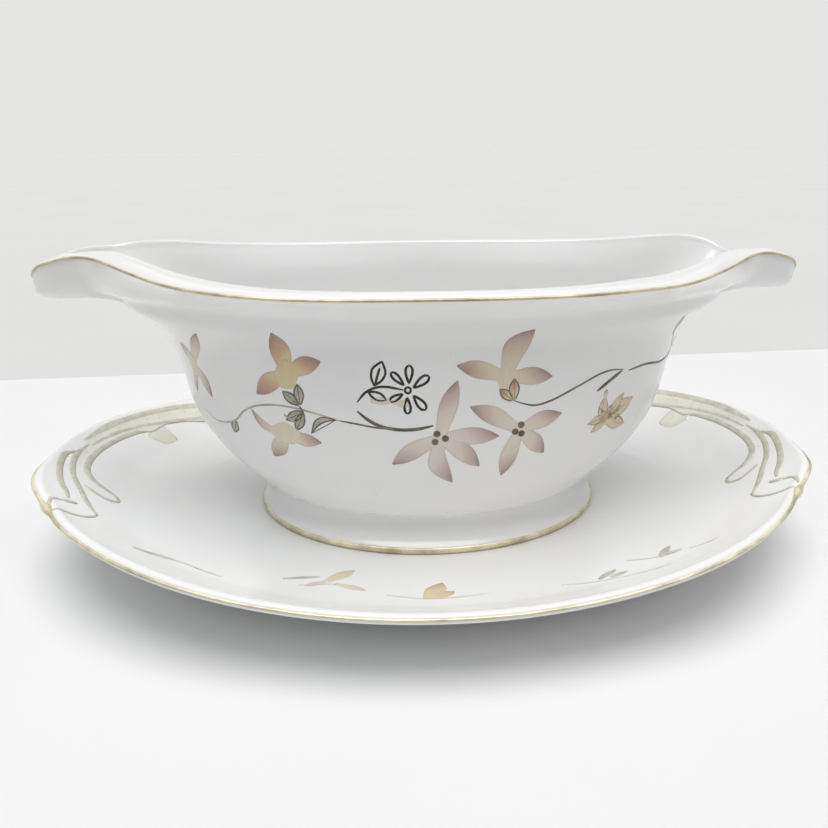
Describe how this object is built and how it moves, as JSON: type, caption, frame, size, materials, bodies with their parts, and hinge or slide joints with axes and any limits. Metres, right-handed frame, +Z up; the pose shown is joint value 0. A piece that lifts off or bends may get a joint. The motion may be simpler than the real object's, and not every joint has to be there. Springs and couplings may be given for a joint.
{
  "type": "gravy boat",
  "caption": "Footed oval porcelain gravy boat with a pouring lip at each end, which lifts off an oval underplate on a foot ring.",
  "frame": {"origin": "centre of the underplate's foot ring, on the table", "axes": "+X along the length from lip to lip, +Y across, +Z up"},
  "size_m": [0.24, 0.178, 0.0915],
  "materials": {
    "underplate_glaze": "clear glaze over white porcelain",
    "boat_glaze": "clear glaze over white porcelain",
    "gilding": "fired gold line on the glaze, worn satin",
    "enamel": "flower decoration fired on the glaze"
  },
  "bodies": {
    "underplate": {"underplate": "underplate_glaze"},
    "boat": {"boat": "boat_glaze"}
  },
  "joints": [
    {"name": "boat_lift", "type": "slide", "parent": "underplate", "child": "boat", "axis": [0, 0, 1], "range_m": [0, 0.1]}
  ]
}
